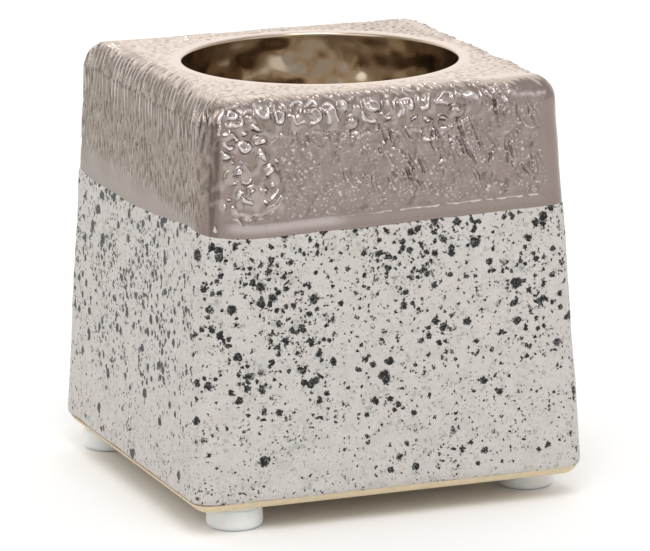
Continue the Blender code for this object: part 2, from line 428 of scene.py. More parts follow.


# %% [markdown]
# ## The relief of the metallic glaze
#
# Four kinds of surface show. Bold glossy worms, rings and drops lie along the top of the front and down
# its left end, where the glaze was thickest, over a field of folds and crumbs. The other sides and the top
# have a close grain, and the lower edge has a bead. Each kind is one function below, which gives its
# height and the marks for its colour, most of which are painted highlights and painted shade.

# %% Worms, drops, mounds and creases of the thick glaze, in mm
# Each worm: its half width, then its path, as how far along the side and how far down from the top
WORMS = [
    (0.41, -27.94, 3.89, -28.32, 4.66, -28.7, 5.74), (0.27, -28.8, 6.44, -28.8, 7.74),
    (0.32, -27.37, 4.75, -27.13, 4.37, -26.63, 4.25, -26.08, 4.37, -25.82, 4.71, -26.11, 5.15,
     -26.61, 5.27, -27.16, 5.15, -27.37, 4.75),
    (0.35, -25.01, 5.15, -24.8, 5.84, -25.2, 6.49, -26, 6.59, -26.3, 6.29),
    (0.27, -27.7, 6.14, -27.1, 6.54, -26.5, 6.49), (0.41, -26.5, 7.94, -25.9, 8.74),
    (0.3, -24.42, 4.75, -23.83, 4.27, -22.83, 4.22),
    (0.3, -22.14, 3.07, -22.22, 4.56, -21.81, 5.3, -21.1, 5.64, -20.31, 5.3, -20.02, 4.56, -20.27, 3.43),
    (0.22, -19.39, 3.07, -19.5, 3.79), (0.23, -18.95, 3.79, -19.06, 4.95),
    (0.41, -19.06, 5.3, -19, 6.14, -18.4, 6.44, -17.75, 5.94, -17.76, 5.2, -18.31, 4.85),
    (0.35, -17.52, 3.38, -17.12, 4.56), (0.32, -15.55, 3.7, -15.37, 3.34, -14.37, 3.38, -14.15, 3.79),
    (0.35, -13.34, 3.98, -12.77, 3.38, -12.07, 3.47, -11.78, 4.27),
    (0.32, -16, 5.74, -15.8, 6.54, -15.35, 6.89, -14.35, 6.89),
    (0.38, -12.01, 5.05, -11.45, 5.84, -11.55, 6.64, -12.3, 7.04, -13.1, 6.84),
    (0.27, -10.82, 4.75, -10.31, 5.35, -9.9, 6.24, -9.8, 7.14),
    (0.32, -10.13, 4.17, -9.38, 4.27, -8.8, 5.44, -8.45, 6.44, -8.2, 7.04),
    (0.32, -3.29, 3.98, -3.21, 4.95, -2.55, 5.64, -1.8, 5.74, -0.8, 5.84),
    (0.27, -2.36, 3.7, -2.18, 4.32, -1.52, 4.61, -1.01, 5.15, -0.9, 5.64), (0.2, -2.52, 4.66, -2.36, 5.3),
    (0.35, -3.85, 6.29, -3.45, 7.14, -2.7, 7.54, -1.7, 7.54), (0.24, 1.89, 5.44, 2.08, 4.66, 2.47, 4.22),
    (0.3, 2.87, 4.46, 3.77, 4.22, 4.47, 4.46, 4.99, 5.35, 4.7, 5.94, 4.2, 5.94),
    (0.27, 2.98, 4.66, 3.1, 5.64, 3.25, 6.84), (0.3, 2.75, 6.44, 2.6, 7.14),
    (0.27, 8.15, 3.89, 8.14, 4.95, 7.8, 5.94, 7.1, 6.19, 6.55, 6.14), (0.2, 7.34, 3.61, 7.43, 4.66),
    (0.27, 12.24, 4.95, 12.06, 4.08, 11.65, 3.94, 10.66, 4.17, 9.73, 4.56, 9.29, 5.15, 9.89, 5.44,
     10.9, 5.74), (0.22, 12.84, 3.61, 13.07, 4.27), (0.57, 14.48, 4.71, 15.43, 4.56, 16.39, 5.15),
    (0.34, 18.27, 4.27, 19.29, 5.25), (0.34, 19.14, 3.7, 19.75, 3.79, 19.97, 4.37),
    (0.3, 21, 5.64, 21.7, 6.14), (0.38, -28.1, 9.29, -27.6, 9.94, -26.8, 10.04),
    (0.46, -25.2, 10.29, -24.5, 10.74, -23.9, 10.19, -24.2, 9.74),
    (0.3, -22.6, 9.34, -22, 9.59, -21.3, 9.24), (0.27, -25, 15.94, -24.2, 15.99, -23.7, 15.54),
    (0.38, -20.7, 14.84, -19.9, 13.94), (0.3, -26, 18.34, -25.7, 17.54, -25.2, 17.24),
    (0.43, -25, 18.54, -24.5, 19.14, -24, 19.24), (0.27, -19.1, 17.64, -19.5, 18.24, -20.2, 18.84),
    (0.34, 6.9, 11.44, 8.2, 11.54, 8.7, 11.14),
]
# These shine less
SOFT_WORMS = [
    (0.51, -26.9, 20.04, -26.4, 20.94, -24.7, 21.34, -22.9, 21.44, -21.1, 20.94, -19.6, 20.24,
     -18.5, 18.94), (0.3, -12.7, 8.69, -11.1, 8.69), (0.3, -7.6, 9.24, -6.4, 9.34),
    (0.3, -6, 9.44, -4.7, 9.44), (0.3, -4.1, 9.64, -2.6, 9.59),
    (0.38, -19.9, 9.74, -18.9, 8.94, -17.4, 8.64), (0.33, 9.5, 9.84, 10.7, 9.84),
    (0.33, 4.6, 9.64, 5.6, 9.69), (0.45, 12.9, 9.34, 14.7, 8.74),
    (0.22, -25.5, 12.34, -24.5, 13.34, -23.8, 14.24, -23.5, 15.04), (0.3, 20.2, 4.75, 21.5, 4.4, 22.9, 4.7),
    (0.5, 22.6, 4.9, 25, 5.2, 28.6, 5.3), (0.45, -26.5, 21.74, -25.3, 23.14),
]
# Each drop: along, down, and its half width and half height
DROPS = [
    (-27.2, 7.29, 0.38, 0.38), (-24.5, 7.84, 0.75, 0.38), (-23.45, 5.64, 0.34, 0.62),
    (-25.38, 3.25, 0.75, 0.38), (-24, 2.98, 0.44, 0.31), (-21.53, 4.22, 0.38, 0.62),
    (-22.5, 7.14, 0.62, 0.44), (-16.32, 4.75, 0.44, 0.34), (-14.76, 4.95, 0.44, 0.5),
    (-13.16, 5.1, 0.34, 0.5), (-7.22, 4.66, 0.94, 1.19), (-5.8, 7.14, 0.45, 0.45), (-6.5, 7.09, 0.3, 0.34),
    (-5.01, 3.56, 0.38, 0.38), (-4.66, 5.05, 0.45, 0.53), (0.58, 4.85, 0.4, 0.75), (0.4, 7.14, 0.75, 0.31),
    (0.5, 6.54, 0.25, 0.28), (4.09, 5.15, 0.28, 0.38), (6.18, 4.66, 0.45, 0.75), (5.45, 7.59, 0.41, 0.41),
    (4.8, 7.64, 0.3, 0.34), (7.6, 8.24, 0.59, 0.31), (10.1, 8.04, 0.65, 0.34), (11.95, 6.64, 0.34, 0.41),
    (12.75, 6.79, 0.47, 0.47), (13.58, 4.61, 0.4, 0.41), (-21.4, 11.84, 0.47, 0.62),
    (-22.1, 11.74, 0.28, 0.38), (-27.8, 11.34, 0.81, 0.69), (-26.7, 12.44, 0.5, 0.34),
    (-25.8, 14.04, 0.56, 0.62), (-20.8, 14.74, 0.3, 0.3), (-26.5, 15.84, 0.44, 0.34),
    (-23.6, 17.39, 0.62, 0.4), (-22, 17.29, 0.28, 0.38), (-21.2, 17.54, 0.5, 0.3), (-20, 16.64, 0.34, 0.38),
    (-21.3, 19.44, 0.56, 0.45), (-27.5, 18.54, 0.5, 0.3), (-28.3, 19.64, 0.34, 0.38),
    (-19, 12.84, 0.38, 0.34), (-15.9, 8.59, 0.38, 0.31), (-13.7, 8.74, 0.31, 0.28),
    (-10.2, 8.94, 0.5, 0.34), (-1.3, 9.24, 0.38, 0.28), (1.5, 9.44, 0.38, 0.31), (3.7, 9.14, 0.28, 0.28),
    (6.6, 10.04, 0.4, 0.38), (8.4, 9.84, 0.34, 0.3), (11.6, 9.54, 0.5, 0.3), (11.6, 11.64, 0.38, 0.44),
    (-0.2, 11.24, 0.34, 0.38), (-29.9, 23.3, 0.44, 0.5),
]
# The low mounds that the worms and drops sit on
MOUNDS = [
    (-24.4, 10.14, 1.3, 1.2), (-27.6, 11.44, 1.2, 1.1), (-25.2, 14.74, 1.6, 1.9), (-21.6, 11.64, 1.1, 1.4),
    (-20.3, 14.44, 1.1, 1.3), (-22, 8.94, 1.3, 0.9), (-26.61, 4.85, 1.5, 1), (-21.12, 4.56, 1.4, 1.4),
    (-18.5, 5.64, 1.2, 1.2), (-12.3, 5.94, 1.4, 1.4), (-15.1, 6.04, 1.4, 1.2), (-9.2, 5.74, 1.3, 1.6),
    (-5.9, 7.64, 1.35, 1.2), (-2.21, 5.15, 1.6, 1.3), (3.89, 5.25, 1.5, 1.3), (7.49, 5.05, 1.1, 1.4),
    (10.68, 4.85, 1.6, 1.1), (12.6, 7.04, 1.4, 1.3), (15.39, 5.15, 1.2, 0.9), (5.1, 7.74, 0.9, 0.7),
    (7.6, 8.34, 1, 0.6), (10.1, 8.14, 1.1, 0.6), (0.49, 4.95, 0.9, 1.1), (0.5, 7.14, 1.1, 0.7),
    (-23.3, 18.74, 3.3, 2.8), (-27.6, 8.14, 1.2, 1), (-22.3, 7.04, 1.3, 0.8), (-23.5, 5.64, 0.9, 0.8),
    (-27.4, 14.84, 1.1, 1.5), (-6.82, 4.75, 1.2, 1.1),
]
# The path of each crease between them
CREASES = [
    (-23.2, 7.59, -22, 7.79, -20, 7.79), (-22.9, 9.79, -20.7, 9.89),
    (-25.7, 8.94, -24.2, 9.14, -23.2, 10.04), (-26.5, 14.34, -25.6, 15.04, -25.4, 15.84),
    (-25.4, 16.24, -23.5, 16.29), (-21.8, 15.74, -20.4, 15.49), (-19, 13.24, -18.55, 14.74, -18.5, 16.34),
    (-4.55, 7.14, -4.7, 7.94, -5.2, 8.54, -6.2, 8.74), (-2.7, 6.24, -0.7, 6.39), (-0.45, 7.74, 2.2, 7.69),
    (14, 6.14, 14.05, 7.34, 13.3, 8.24, 12.3, 8.34), (18.28, 4.8, 19.5, 5.84, 19.8, 6.94),
    (21.1, 6.14, 22.7, 6.64), (15, 5.54, 15.4, 5.74), (-23.9, 17.84, -24.4, 18.34),
    (-25, 19.44, -25.1, 20.64), (-26.4, 18.84, -26.5, 19.64),
]


def curved(path):
    """A smooth path through the points, with three short steps from each point to the next."""
    points = np.reshape(path, (-1, 2))
    points = np.concatenate([points[:1], points, points[-1:]])
    steps = []
    for a, b, c, d in zip(points, points[1:], points[2:], points[3:]):
        for t in (0, 1 / 3, 2 / 3):
            steps.append(0.5 * (2 * b + (c - a) * t + (2 * a - 5 * b + 4 * c - d) * t ** 2
                                + (3 * b - a - 3 * c + d) * t ** 3))
    return steps + [points[-1]]


def backs(u, v, worms, drops):
    """Round backs of the worms and drops: 1 along their middle and 0 beside them, and their half width."""
    back = np.zeros_like(u)
    width = np.zeros_like(u)

    def lay(near, away, half):
        fresh = np.maximum(0, 1 - away ** 2)
        width[near] = np.where(fresh > back[near], half, width[near])
        back[near] = np.maximum(back[near], fresh)

    for half, *path in worms:
        path = curved(path)
        low, high = np.min(path, axis=0) - half, np.max(path, axis=0) + half
        near = (u > low[0]) & (u < high[0]) & (v > low[1]) & (v < high[1])
        away = np.full(near.sum(), np.inf)
        for start, stop in zip(path, path[1:]):
            run = stop - start
            part = ((u[near] - start[0]) * run[0] + (v[near] - start[1]) * run[1]) / (run @ run)
            part = np.clip(part, 0, 1)
            gap = np.hypot(u[near] - start[0] - part * run[0], v[near] - start[1] - part * run[1])
            away = np.minimum(away, gap / half)
        lay(near, away, half)
    for along, down, half, tall in drops:
        near = (np.abs(u - along) < half) & (np.abs(v - down) < tall)
        lay(near, np.hypot((u[near] - along) / half, (v[near] - down) / tall), half)
    return back, width


print(len(WORMS) + len(SOFT_WORMS), "worms,", len(DROPS), "drops,", len(MOUNDS), "mounds")

# %% How the four sides differ
# Each list goes round the block: front, right, back, left
SIDES = ["front", "right", "back", "left"]
# How a side reads the worms: mirrored or not, and shifted, which takes them off the left side
WORMS_READ = [(1, 0.0), (-1, 0.0), (-1, -1.0), (1, 60.0)]
# Where its bold row at the top and its bold column at one end start and stop, in mm along the side
NOWHERE = (40.0, 41.0)
BOLD_TOP = [(-29.5, 17.5), (-2.0, 28.0), (-14.0, 27.0), NOWHERE]
BOLD_END = [(-29.5, -18.8), NOWHERE, (17.0, 27.0), NOWHERE]
# How much of it is folds, pebbles, strokes over the top edge, olive colour, and bead
WRINKLED = [1.0, 0.8, 0.25, 0.0]
GRAINED = [0.12, 0.35, 0.8, 1.0]
STROKED = [0.4, 0.5, 0.8, 1.0]
OLIVE = [0.1, 0.4, 0.6, 1.0]
BEADED = [1.0, 0.9, 0.5, 0.12]
# At its left and right ends: how dark the painted reflection on the corner is, and how smooth
CORNER_DARK_REFLECTION = [(1.0, 0.25), (0.3, 0.5), (0.5, 0.5), (0.5, 0.0)]
SMOOTH_ENDS = [(0, 1), (1, 1), (1, 0), (0, 0)]


def between(value, start, stop, soft):
    """1 from start to stop, with soft ends."""
    return smooth(value, start - soft, start + soft) * (1 - smooth(value, stop - soft, stop + soft))


def shared(values, side, w, start):
    """The side's value, which goes half way to its neighbour's between `start` and the corner's middle."""
    other = np.where(w > 0, values[(side + 1) % 4], values[(side + 3) % 4])
    return values[side] + (other - values[side]) * 0.5 * smooth(np.abs(w), start, 1.0)


def at_ends(values, side, w):
    """The side's first value left of its middle, and its second value right of it."""
    return values[side][0] * (w < 0) + values[side][1] * (w > 0)


def most(*layers):
    """The highest of several layers, point by point."""
    return reduce(np.maximum, layers)


# %% [markdown]
# ### Worms and drops
#
# A worm is a raised path with a round back on a low mound, and creases part some mounds. Highlights are
# painted on the backs, and shade is painted in the creases, round the mounds and in the hollow under
# each. A slow shake of the paths keeps them from looking drawn, and a second read of the paths, shifted
# down, finds the hollows.

# %% Bold glaze
WORM_HEIGHT = 0.42
MOUND_HEIGHT = 0.42
SHAKE = 0.09
HOLLOW_DROP = 0.32
CREASE_HALF = 0.2


def bold_glaze(side, at):
    """Where the glaze is bold, its height in mm, its painted highlights on the crests and its painted shade
    in the hollows.
    """
    shake_u, shake_v = at.shake
    top = smooth(at.z, 66.0 + 0.5 * at.edge_wave, 67.0 + 0.5 * at.edge_wave)
    top = top * between(at.along, *BOLD_TOP[side], 0.8) * at.wall
    end = between(at.along + 0.8 * at.edge_wave, *BOLD_END[side], 0.6) * smooth(at.z, 52.8, 54.0) * at.wall
    bold = np.maximum(top, end) * smooth(at.below, 2.3, 3.1)
    sign, shift = WORMS_READ[side]
    u = sign * at.along + shift + SHAKE * shake_u
    v = at.below + SHAKE * shake_v
    back, width = backs(u, v, WORMS, DROPS)
    soft_back, soft_width = backs(u, v, SOFT_WORMS, [])
    foot, _ = backs(u, v - HOLLOW_DROP, WORMS, DROPS)
    crease, _ = backs(u, v, [(CREASE_HALF, *path) for path in CREASES], [])
    mound, _ = backs(u + 0.15 * shake_v, v + 0.15 * shake_u, [], MOUNDS)
    folds = ripples(at.along, at.fall, 2.6, at.seed + 3, 0.4)
    glint = np.tanh(round_ripples(at, 1.3, 15))
    shown = at.wall * bold if side else at.wall
    height = np.minimum(WORM_HEIGHT, 0.95 * width) * back ** 0.62
    height = np.maximum(height, 0.5 * soft_width * soft_back ** 0.75)
    height = shown * (height + MOUND_HEIGHT * mound ** 0.8 - 0.12 * crease)
    height = height + bold * at.face * (0.05 + 0.05 * folds)
    # Painted highlights on the backs of the worms and drops, on the mounds and on the folds
    crest_highlight = most(
        0.27 * smooth(back, 0.0, 0.5) + (0.42 + 0.18 * glint) * smooth(back, 0.5, 1.0),
        (0.3 + 0.14 * glint) * smooth(soft_back, 0.0, 1.0),
        0.17 * smooth(mound, 0.3, 1.0),
        0.2 * bold * smooth(folds, -0.3, 1.3),
    )
    # Painted shade in the creases, in the hollow under each worm and drop, and round the rim of each mound
    hollow_shade = most(0.8 * crease, 0.7 * np.clip(1.2 * foot - 2.5 * back, 0, 1), 0.45 * hump(mound, 0.06, 0.07))
    return bold, height, shown * crest_highlight, shown * hollow_shade


# %% [markdown]
# ### Folds and crumbs
#
# Lower down the glaze was drawn into slanting folds as it ran, each with a groove beside it. Burst
# bubbles left crumbs between them. Both are strewn at random, because the eye knows an even pattern.

# %% Folded glaze
# The cell in which each fold lies, half its length, its lean, its height and its share of the cells
FOLD_CELL = (1.8, 4.0)
FOLD_REACH = 2.9
FOLD_LEAN = 0.31
FOLD_HEIGHT = 0.22
FOLD_SHARE = 0.85


def folded_glaze(side, at, bold):
    """Height of the folds and crumbs in mm, the painted highlights on them, and the painted shade in each
    groove.
    """
    along, below, seed = at.along, at.below, at.seed
    bent = along + 0.1 * at.shake[0]
    groove = strewn(bent, below, FOLD_CELL, 0.26, FOLD_REACH, FOLD_LEAN, seed + 4, FOLD_SHARE)
    ridge = strewn(bent - 0.4, below - 0.05, FOLD_CELL, 0.3, FOLD_REACH, FOLD_LEAN, seed + 4, FOLD_SHARE)
    big = strewn(along, below, (1.2, 1.2), 0.2, 0.12, 1.2, seed + 5, 0.5)
    small = strewn(along, below, (0.75, 0.75), 0.13, 0.06, 0.8, seed + 6, 0.7)
    swells = ripples(along, 0.55 * at.z, 3.4, seed + 7, 0.5)
    patches = smooth(ripples(along, at.z, 7.0, seed + 8, 0.5), -1.0, 0.4)
    broken = smooth(ripples(along, at.z, 2.0, seed + 3, 0.5), -0.5, 1.0)
    pits = ripples(along, 0.7 * at.z, 1.1, seed + 9, 0.4)
    crumbs = np.maximum(big, 0.8 * small) * (0.35 + 0.65 * patches)
    folded = smooth(at.z, 53.0, 57.5) * (0.45 + 0.55 * smooth(along, -12.0, 4.0)) * (0.5 + 0.5 * patches)
    height = folded * (FOLD_HEIGHT * ridge - FOLD_HEIGHT * groove) + 0.14 * crumbs
    height = height + 0.09 * swells + 0.014 * pits
    # Painted highlights on the crumbs, on the fold ridges and on the swells
    light = 0.74 * crumbs + 0.2 * folded * ridge * broken + 0.05 * smooth(swells, 0.0, 1.6)
    share = WRINKLED[side] * at.face * (1 - np.minimum(1, 1.2 * bold)) * at.wall * smooth(at.fall, 2.5, 3.4)
    if side == 0:
        calm = smooth(along, 19.0, 24.0) * smooth(at.z, 67.5, 69.5)
        share = share * (1 - 0.9 * calm) * (1 - smooth(along, 28.5, 30.5))
    # The last value is painted shade in the fold grooves
    return share * height, light * share, 0.75 * folded * groove * share


# %% [markdown]
# ### Pebbles and strokes
#
# A thinner glaze stays a grain of small pebbles. Over the top edge it stretched as it ran, which drew the
# pebbles out into strokes, and on the top it lies level and the pebbles are larger.

# %% Grained glaze
GRAIN_HEIGHT = 0.13
PEBBLE = 1.08
STROKE = 1.42
TOP_PEBBLE = 1.55


def grained_glaze(side, at, bold):
    """Height of the grain in mm, painted highlights on its strokes, painted shade in its dips, and where it
    is pale like the top.
    """
    below, w = at.below, at.w
    grain = round_ripples(at, PEBBLE, 3, 0.4, upright=0.36)
    over = np.clip((below - 3.0) / 4.5, 0, 1)
    drift = 1.1 * (np.minimum(below, 3.0) + 4.5 * (over - over ** 3 + 0.5 * over ** 4))
    strokes = ripples(at.round_s - drift, 0.24 * below, STROKE, 4, 0.35, 0.8, AROUND)
    top_grain = ripples(at.top_x, at.top_y, TOP_PEBBLE, 5, 0.35)
    at_edge = smooth(at.z, 61.5, 67.5) * (1 - smooth(at.on_top, 0.8, 3.0))
    share = shared(GRAINED, side, w, 0.95) * (1 - at_edge) + shared(STROKED, side, w, 0.95) * at_edge
    share = share * (1 - np.minimum(1, 1.5 * bold)) * (1 - 0.65 * at.corner * at_ends(SMOOTH_ENDS, side, w))
    low_edge = 52.0 - 1.5 * (side == 3) * smooth(at.along, -5.0, 28.0)
    share = share * (1 - smooth(at.on_top, 1.0, 3.5)) * smooth(at.z, low_edge, low_edge + 4.5)
    if side == 0:
        share = share * (1 - smooth(at.along, 17.0, 20.0))
    topped = smooth(at.on_top, 0.6, 3.0) * (1 - at.lip)
    height = 0.85 * np.tanh(1.8 * grain) * (1 - at_edge) + np.tanh(2.2 * strokes) * at_edge * 1.6
    height = share * GRAIN_HEIGHT * height + topped * GRAIN_HEIGHT * np.tanh(1.3 * top_grain)
    edge_share = smooth(below, 1.0, 2.2)
    # Painted highlights on the crests of the strokes over the top edge
    light = share * at_edge * 0.48 * smooth(strokes, 0.4, 1.7) * edge_share
    # Painted shade in the dips of the grain and the strokes. On the top it grows towards the back right,
    # where the top is also darker.
    to_back_right = smooth(at.top_x + at.top_y, 0.0, 42.0)
    dips = most(
        topped * (smooth(-top_grain, 0.3, 1.5) * (0.28 + 0.34 * to_back_right) + 0.18 * to_back_right),
        share * at_edge * 0.95 * smooth(-strokes, 0.0, 1.1) * edge_share,
        share * (1 - at_edge) * 0.6 * smooth(-grain, 0.5, 1.7),
    )
    reach = 3.1 - 0.55 * smooth(at.along, 2.0, -8.0) * (side == 0)
    torn_edge = (0.75 * strokes - 0.1) * min(1, 1.5 * STROKED[side]) + 0.25 * at.edge_wave
    return height, light, dips, smooth(below + torn_edge, reach, reach - 0.9)


# %% [markdown]
# ### The bead
#
# Glaze that runs down gathers in a roll where it stops. The roll ends upwards in a small ledge, where a
# highlight is painted in broken dashes, and a soft painted sheen lies on the roll.

# %% Beaded glaze
BEAD_WIDTH = 2.62
BEAD_HEIGHT = 0.1


def beaded_glaze(side, at):
    """Height of the bead in mm, and the painted highlight dashes on its ledge and the painted sheen on it.
    """
    fall = at.fall
    share = shared(BEADED, side, at.w, 0.85) * (1 - 0.75 * at.corner)
    torn = round_ripples(at, 2.2, 9, 0.7, upright=0)
    brink = BEAD_WIDTH + 0.04 * at.edge_wave
    bead = BEAD_HEIGHT * smooth(fall, -0.1, 0.5) * (1 - smooth(fall, brink - 0.45, brink))
    bead = bead * (0.6 + 0.4 * smooth(torn, -1, 1))
    bead = bead + 0.05 * hump(fall - brink, -0.42, 0.2) * smooth(torn, -0.4, 0.9)
    bead = share * bead * (1 - 0.25 * smooth(fall, 0.5, 1.2) * (1 - smooth(fall, 1.5, 2.2)))
    # Painted highlight in broken dashes along the ledge
    dashes = smooth(round_ripples(at, 3.6, 16, 0.5, upright=0), -1.1, -0.8)
    dashes = dashes * (0.75 + 0.25 * np.tanh(2 * torn)) * at.face
    dashes = dashes * hump(fall - brink + 0.03 * torn, -0.2, 0.115)
    # A soft painted sheen on the roll
    painted_sheen = smooth(fall, 0.3, 1.8) * (1 - smooth(fall, brink - 0.35, brink + 0.1)) * at.face
    if side == 0:
        dashes = dashes * (0.25 + 0.6 * between(at.along, -1.0, 28.0, 1.5))
        painted_sheen = painted_sheen * (0.28 * between(at.along, -28.0, -8.0, 2.5) + 0.04)
    else:
        dashes = 0.5 * dashes * share
        painted_sheen = 0.15 * painted_sheen * share
    return bead, np.maximum(dashes, painted_sheen)


# %% The whole relief and its marks


def relief(side, at):
    """Height of the glaze over its plain form, in mm, and four marks for its colour: painted highlights,
    where it leans to olive, painted shade with a painted dark reflection and some darker tone, and where it
    is pale like the top."""
    w, z = at.w, at.z
    at.seed = 40 + 10 * side
    at.edge_wave = round_ripples(at, 6.0, 7)
    at.shake = round_ripples(at, 2.6, 12), round_ripples(at, 2.6, 13)
    at.corner = smooth(np.abs(w), 0.86, 0.93)
    at.face = 1 - at.corner
    at.wall = 1 - smooth(at.on_top, 0.0, 0.6)
    bold, worms, crest_highlight, hollow_shade = bold_glaze(side, at)
    folds, light, groove_shade = folded_glaze(side, at, bold)
    grain, strokes, dips, pale = grained_glaze(side, at, bold)
    bead, brim = beaded_glaze(side, at)
    slow = round_ripples(at, 13.0, 8, 0.5) * (1 - smooth(at.on_top, 0.0, 4.0)) * smooth(at.fall, 1.0, 4.0)

    mottle = ripples(at.along, at.fall, 4.5, at.seed + 17, 0.5)
    olive = np.clip(shared(OLIVE, side, w, 0.88) + bold * 0.75 * smooth(mottle, -0.4, 0.9), 0, 1)
    # The strip on each rounded corner is a painted dark reflection, streaked up and down
    streaks = round_ripples(at, 0.9, 14, 0.5, upright=0.08)
    painted_shade_and_dark_tone = smooth(np.abs(w), 0.918, 0.94) * (1 - smooth(np.abs(w), 0.975, 0.998))
    painted_shade_and_dark_tone = painted_shade_and_dark_tone * (0.66 + 0.22 * np.tanh(streaks)) * (1 - smooth(z, 70.3, 71.5))
    painted_shade_and_dark_tone = painted_shade_and_dark_tone * at_ends(CORNER_DARK_REFLECTION, side, w) * np.where(w > 0, 1 - smooth(z, 62.0, 67.0), 1)
    # Painted shade in the hollows, grooves and dips, and darker towards the lower edge of the band
    painted_shade_and_dark_tone = most(painted_shade_and_dark_tone, 0.3 * (1 - smooth(z, 52.0, 57.0)), hollow_shade, groove_shade, dips)
    # The front is also darker on its right half and along a line under its top edge
    if side == 0:
        right_half = smooth(at.along, 2.0, 14.0) * smooth(at.below, 3.0, 5.0)
        painted_shade_and_dark_tone = most(painted_shade_and_dark_tone, 0.2 * at.face * right_half, 0.25 * at.face * hump(at.below, 3.3, 0.5))
    # The first mark is painted highlight: on the crests, crumbs, bead and strokes
    marks = np.stack([most(crest_highlight, light, brim, strokes), olive, painted_shade_and_dark_tone, pale], axis=-1)
    return worms + folds + grain + bead + 0.05 * slow, marks


def surface_normals(points):
    """Unit normals of a surface of rows and columns of points."""
    normals = np.cross(np.gradient(points, axis=1), np.gradient(points, axis=0))
    return normals / (np.linalg.norm(normals, axis=2, keepdims=True) + 1e-12)


# %% Lay the four sheets
# Columns past each end, so that the normals at the seams know both sides
SPARE = 2


def lay_sheet(side):
    step = 2 / (COLUMNS - 1)
    at = sheet_form(side, np.linspace(-1 - SPARE * step, 1 + SPARE * step, COLUMNS + 2 * SPARE))
    turn = np.array(Matrix.Rotation(side * math.pi / 2, 3, "Z"))
    at.top_x = at.along * turn[0][0] + at.y * turn[0][1]
    at.top_y = at.along * turn[1][0] + at.y * turn[1][1]
    height, marks = relief(side, at)
    plain = np.stack([at.along, at.y, at.z], axis=-1)
    points = plain + surface_normals(plain) * height[..., None]
    points = (points @ turn.T) * MM
    normals = surface_normals(points)[:, SPARE:-SPARE]
    points, marks = points[:, SPARE:-SPARE], marks[:, SPARE:-SPARE]

    bm = bmesh.new()
    bmesh.ops.create_grid(bm, x_segments=COLUMNS - 1, y_segments=len(points) - 1, size=0.5)
    made = object_from(bm, f"metallic_coat_{SIDES[side]}")
    mesh = made.data
    flat = np.empty(len(mesh.vertices) * 3)
    mesh.vertices.foreach_get("co", flat)
    flat = flat.reshape(-1, 3)
    column = np.rint((flat[:, 0] + 0.5) * (COLUMNS - 1)).astype(int)
    row = np.rint((flat[:, 1] + 0.5) * (len(points) - 1)).astype(int)
    mesh.vertices.foreach_set("co", points[row, column].ravel())
    painted = mesh.attributes.new("marks", "FLOAT_COLOR", "POINT")
    painted.data.foreach_set("color", marks[row, column].ravel())
    mesh.update()
    mesh.shade_smooth()
    mesh.normals_split_custom_set_from_vertices(normals[row, column])
    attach(made, "root")
    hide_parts("metallic_glaze")
    print(made.name, len(mesh.polygons) * 2, "triangles")
    return made


sheets = [lay_sheet(side) for side in range(4)]

# %% [markdown]
# ## The metallic glaze
#
# It is a saturated metal-oxide glaze, fired to a pewter colour with a touch of copper. It is a metal to
# the eye: no colour of its own under the gloss, and a soft, slightly wavy reflection. The four marks of
# each point lay further tones over its ground: pale on the top, olive where the glaze is grainy, painted
# shade and a painted dark reflection on the corners, darker low on the band, and painted highlights.

# %% Pewter glaze
pewter, tree, shader = new_material("fired pewter glaze", {"Metallic": 1.0})
place = add(tree, "TexCoord").outputs["Object"]
cloud = add(tree, "TexNoise", {"Vector": place, "Scale": 1 / (9 * MM), "Detail": 3.0, "Roughness": 0.6})
tint = add(tree, "Mix", {"Factor": cloud, "A": colour("#988986"), "B": colour("#9F938D")},
           data_type="RGBA")
marks = add(tree, "Attribute", attribute_name="marks")
pale = marks.outputs["Alpha"]
painted_highlight, olive, painted_shade_and_dark_tone = add(tree, "SeparateXYZ", {0: marks.outputs["Vector"]}).outputs
not_pale = add(tree, "Math", {0: 1.0, 1: pale}, operation="SUBTRACT")
olive = add(tree, "Math", {0: olive, 1: 0.85}, operation="MULTIPLY")
olive = add(tree, "Math", {0: olive, 1: not_pale}, operation="MULTIPLY")
# Painted highlight (#E8DFDF), and painted shade with the painted dark reflection of the corners (#62544D),
# are mixed in as colour
for mark, tone in ((pale, "#D2C4BB"), (olive, "#938B80"), (painted_shade_and_dark_tone, "#62544D"), (painted_highlight, "#E8DFDF")):
    tint = add(tree, "Mix", {"Factor": mark, "A": tint, "B": colour(tone)}, data_type="RGBA")
# The fine grain under the gloss is drawn coarser than it is, so that it shows
fine = add(tree, "TexNoise", {"Vector": place, "Scale": 1 / (0.5 * MM), "Detail": 2.0})
bump = add(tree, "Bump", {"Height": fine, "Strength": 0.25, "Distance": 0.02 * MM})
rough = add(tree, "MapRange", {"Value": cloud, "To Min": 0.21, "To Max": 0.3})
rough = add(tree, "Math", {0: pale, 1: 0.12, 2: rough}, operation="MULTIPLY_ADD")
tree.links.new(tint.outputs["Result"], shader.inputs["Base Color"])
tree.links.new(rough.outputs[0], shader.inputs["Roughness"])
tree.links.new(bump.outputs["Normal"], shader.inputs["Normal"])
for sheet in sheets:
    sheet.data.materials.append(pewter)

# %% [markdown]
# ## The white coat
#
# The white glaze was the first dip. It lies a little proud of the metal and dips in under its bead. One
# grid is wrapped round the block and its two ends are merged, so it closes without a seam.

# %% White coat
WHITE_COLUMNS = 720
WHITE_ROWS = 124
FOOT_ROWS = 12
HEAD_ROWS = 6
# Its lower edge turns in to the clay: how deep each row lies, and how far round the foot, in radians
TUCK = [(0.45, -0.14), (0.3, -0.13), (0.12, -0.09), (0.03, -0.04)]
# Its upper edge starts this far under the line, rises this much, and dips in this deep
HEAD_START = 0.15
HEAD_RISE = 0.9
HEAD_DEPTH = 0.45


